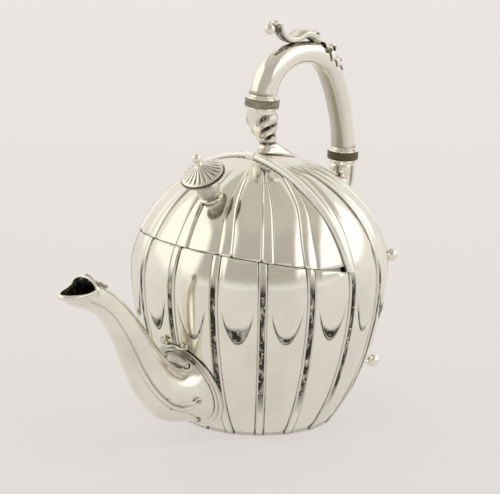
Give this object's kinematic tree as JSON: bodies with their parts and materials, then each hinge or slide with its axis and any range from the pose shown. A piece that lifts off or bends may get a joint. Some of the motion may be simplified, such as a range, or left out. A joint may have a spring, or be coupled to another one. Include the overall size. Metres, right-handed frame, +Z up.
{
  "type": "teapot",
  "caption": "Egg-shaped melon-reeded silver teapot with a hinged quarter lid, an over-top insulated handle, back feet and a brewing shelf.",
  "frame": {"origin": "centre of the flat base, on the surface it stands on", "axes": "+Z up, the spout points to -X and the handle lies in the plane y = 0"},
  "size_m": [0.2254, 0.1378, 0.2159],
  "materials": {
    "silver": "polished silver with fine wear",
    "shaded_silver": "cast silver, darkened in its recesses",
    "front_bone": "aged greenish bone",
    "rear_bone": "aged brown bone"
  },
  "bodies": {
    "pot": {"body_shell": "silver", "base_plate": "silver", "arch_moulding": "silver", "lid_bearer": "silver", "tea_shelf": "silver", "shelf_brackets": "silver", "spout": "silver", "spout_rim": "silver", "spout_crest": "shaded_silver", "spout_border": "silver", "spout_scrolls": "silver", "front_socket": "silver", "front_leaf": "shaded_silver", "front_lower_collar": "silver", "front_insulator": "front_bone", "front_upper_collar": "silver", "handle_loop": "silver", "thumb_scroll": "silver", "loop_leaf": "shaded_silver", "rear_upper_collar": "silver", "rear_insulator": "rear_bone", "rear_lower_collar": "silver", "rear_socket": "silver", "rear_leaf": "shaded_silver", "insulator_pins": "shaded_silver", "upper_foot_near": "silver", "upper_foot_far": "silver", "lower_foot_near": "silver", "lower_foot_far": "silver", "hinge_pot_knuckles": "silver", "hinge_pin": "shaded_silver"},
    "lid": {"lid_shell": "silver", "hinge_lid_knuckle": "silver", "knob_collar": "silver", "knob_baluster": "silver", "knob_cap": "silver", "knob_beading": "shaded_silver", "knob_finial": "silver", "knob_stud": "shaded_silver", "knob_nut": "shaded_silver"}
  },
  "joints": [
    {"name": "lid_hinge", "type": "hinge", "parent": "pot", "child": "lid", "pos_m": [-0.00735, 0, 0.1454], "axis": [0, 1, 0], "range_deg": [0, 60]}
  ]
}
